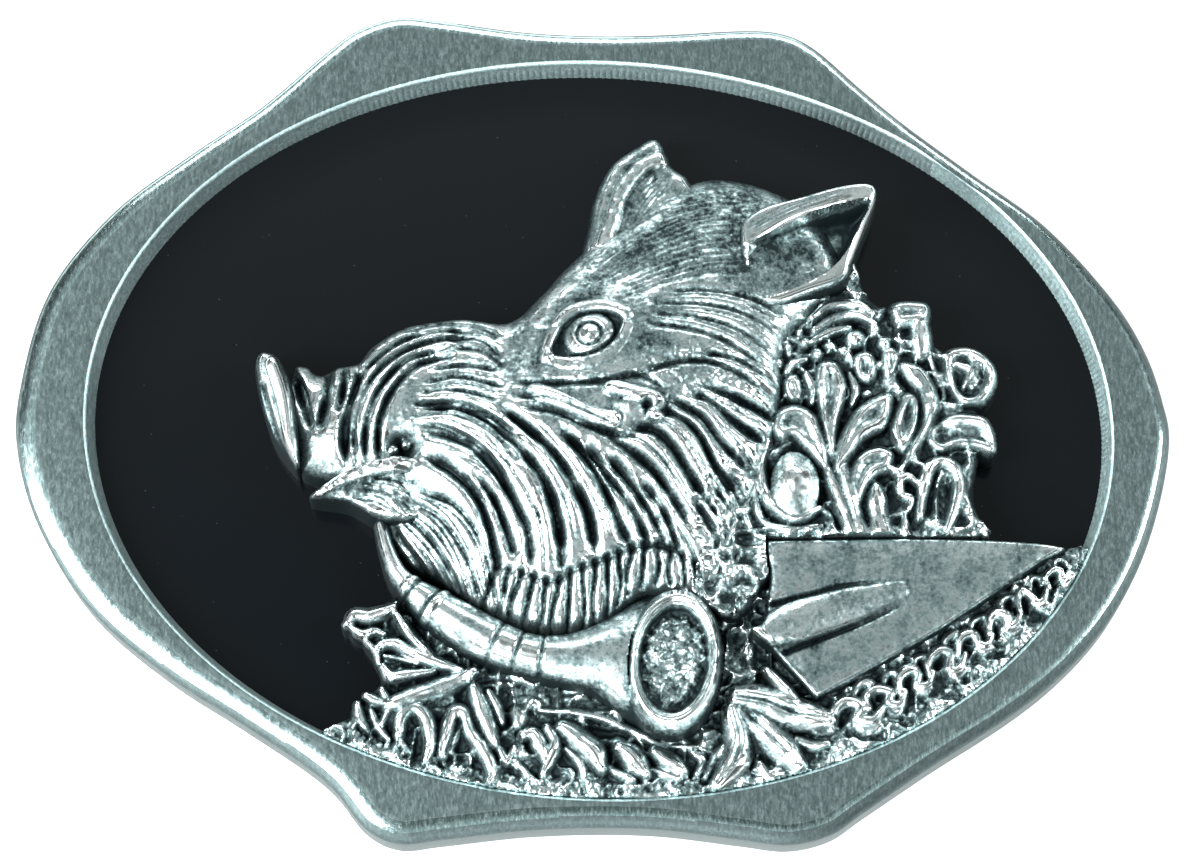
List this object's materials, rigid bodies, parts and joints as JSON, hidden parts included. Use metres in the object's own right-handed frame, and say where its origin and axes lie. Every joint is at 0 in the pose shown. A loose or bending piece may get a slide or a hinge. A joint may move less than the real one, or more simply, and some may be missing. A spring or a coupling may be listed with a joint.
{
  "type": "belt buckle",
  "caption": "Cast pewter belt buckle with a boar's head hunting relief on a black enamel ground, a swinging wire belt loop and a hook stud.",
  "frame": {"origin": "centre of the bounding box at its underside, on the surface that the buckle lies on", "axes": "+X along the buckle, from the snout side to the neck side, +Y towards the top of the picture, +Z out of the face"},
  "size_m": [0.09, 0.0674, 0.0176],
  "materials": {
    "pewter": "antiqued and brushed",
    "enamel": "gloss",
    "steel": "satin"
  },
  "bodies": {
    "plate": {"casting": "pewter", "enamel": "enamel", "belt_hook": "steel"},
    "loop": {"belt_loop": "steel"}
  },
  "joints": [
    {"name": "loop_swing", "type": "hinge", "parent": "plate", "child": "loop", "pos_m": [-0.0235, 0, 0.003], "axis": [0, 1, 0], "range_deg": [-13, 175]}
  ]
}
